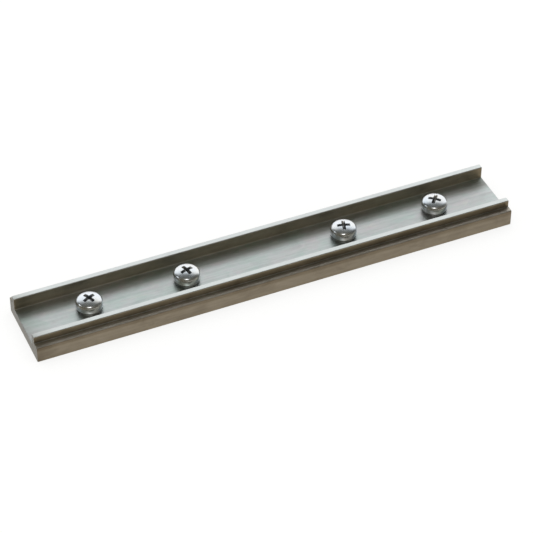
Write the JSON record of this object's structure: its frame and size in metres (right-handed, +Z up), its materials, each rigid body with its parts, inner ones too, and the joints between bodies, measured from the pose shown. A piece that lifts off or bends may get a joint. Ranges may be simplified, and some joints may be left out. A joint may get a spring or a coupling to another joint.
{
  "type": "screw rail",
  "caption": "Straight stepped channel rail with low side lips and pan-head clamping screws on split lock washers along its centre line; screws back out of the floor.",
  "frame": {"origin": "centre of the flat underside of the rail", "axes": "+X along the rail, +Y across it, +Z up out of the open channel, along the screws"},
  "size_m": [0.15, 0.0234, 0.0077],
  "materials": {
    "rail_metal": "zinc-plated bar stock, satin, faint draw lines along its length",
    "screw_metal": "bright blue-passivated zinc",
    "washer_metal": "zinc-plated spring steel, duller than the screws"
  },
  "bodies": {
    "rail": {"rail": "rail_metal"},
    "washer_1": {"lock_washer_1": "washer_metal"},
    "screw_1": {"screw_1": "screw_metal"},
    "washer_2": {"lock_washer_2": "washer_metal"},
    "screw_2": {"screw_2": "screw_metal"},
    "washer_3": {"lock_washer_3": "washer_metal"},
    "screw_3": {"screw_3": "screw_metal"},
    "washer_4": {"lock_washer_4": "washer_metal"},
    "screw_4": {"screw_4": "screw_metal"}
  },
  "joints": [
    {"name": "screw_1_lift", "type": "slide", "parent": "rail", "child": "washer_1", "axis": [0, 0, 1], "range_m": [0, 0.0028]},
    {"name": "screw_1_turn", "type": "hinge", "parent": "washer_1", "child": "screw_1", "pos_m": [-0.055, 0, 0.0046], "axis": [0, 0, 1], "range_deg": [0, 1445]},
    {"name": "screw_2_lift", "type": "slide", "parent": "rail", "child": "washer_2", "axis": [0, 0, 1], "range_m": [0, 0.0028]},
    {"name": "screw_2_turn", "type": "hinge", "parent": "washer_2", "child": "screw_2", "pos_m": [-0.025, 0, 0.0046], "axis": [0, 0, 1], "range_deg": [0, 1445]},
    {"name": "screw_3_lift", "type": "slide", "parent": "rail", "child": "washer_3", "axis": [0, 0, 1], "range_m": [0, 0.0028]},
    {"name": "screw_3_turn", "type": "hinge", "parent": "washer_3", "child": "screw_3", "pos_m": [0.025, 0, 0.0046], "axis": [0, 0, 1], "range_deg": [0, 1445]},
    {"name": "screw_4_lift", "type": "slide", "parent": "rail", "child": "washer_4", "axis": [0, 0, 1], "range_m": [0, 0.0028]},
    {"name": "screw_4_turn", "type": "hinge", "parent": "washer_4", "child": "screw_4", "pos_m": [0.055, 0, 0.0046], "axis": [0, 0, 1], "range_deg": [0, 1445]}
  ],
  "couplings": [
    {"joint": "screw_1_turn", "follows": "screw_1_lift", "rad_per_m": 8976},
    {"joint": "screw_2_turn", "follows": "screw_2_lift", "rad_per_m": 8976},
    {"joint": "screw_3_turn", "follows": "screw_3_lift", "rad_per_m": 8976},
    {"joint": "screw_4_turn", "follows": "screw_4_lift", "rad_per_m": 8976}
  ]
}
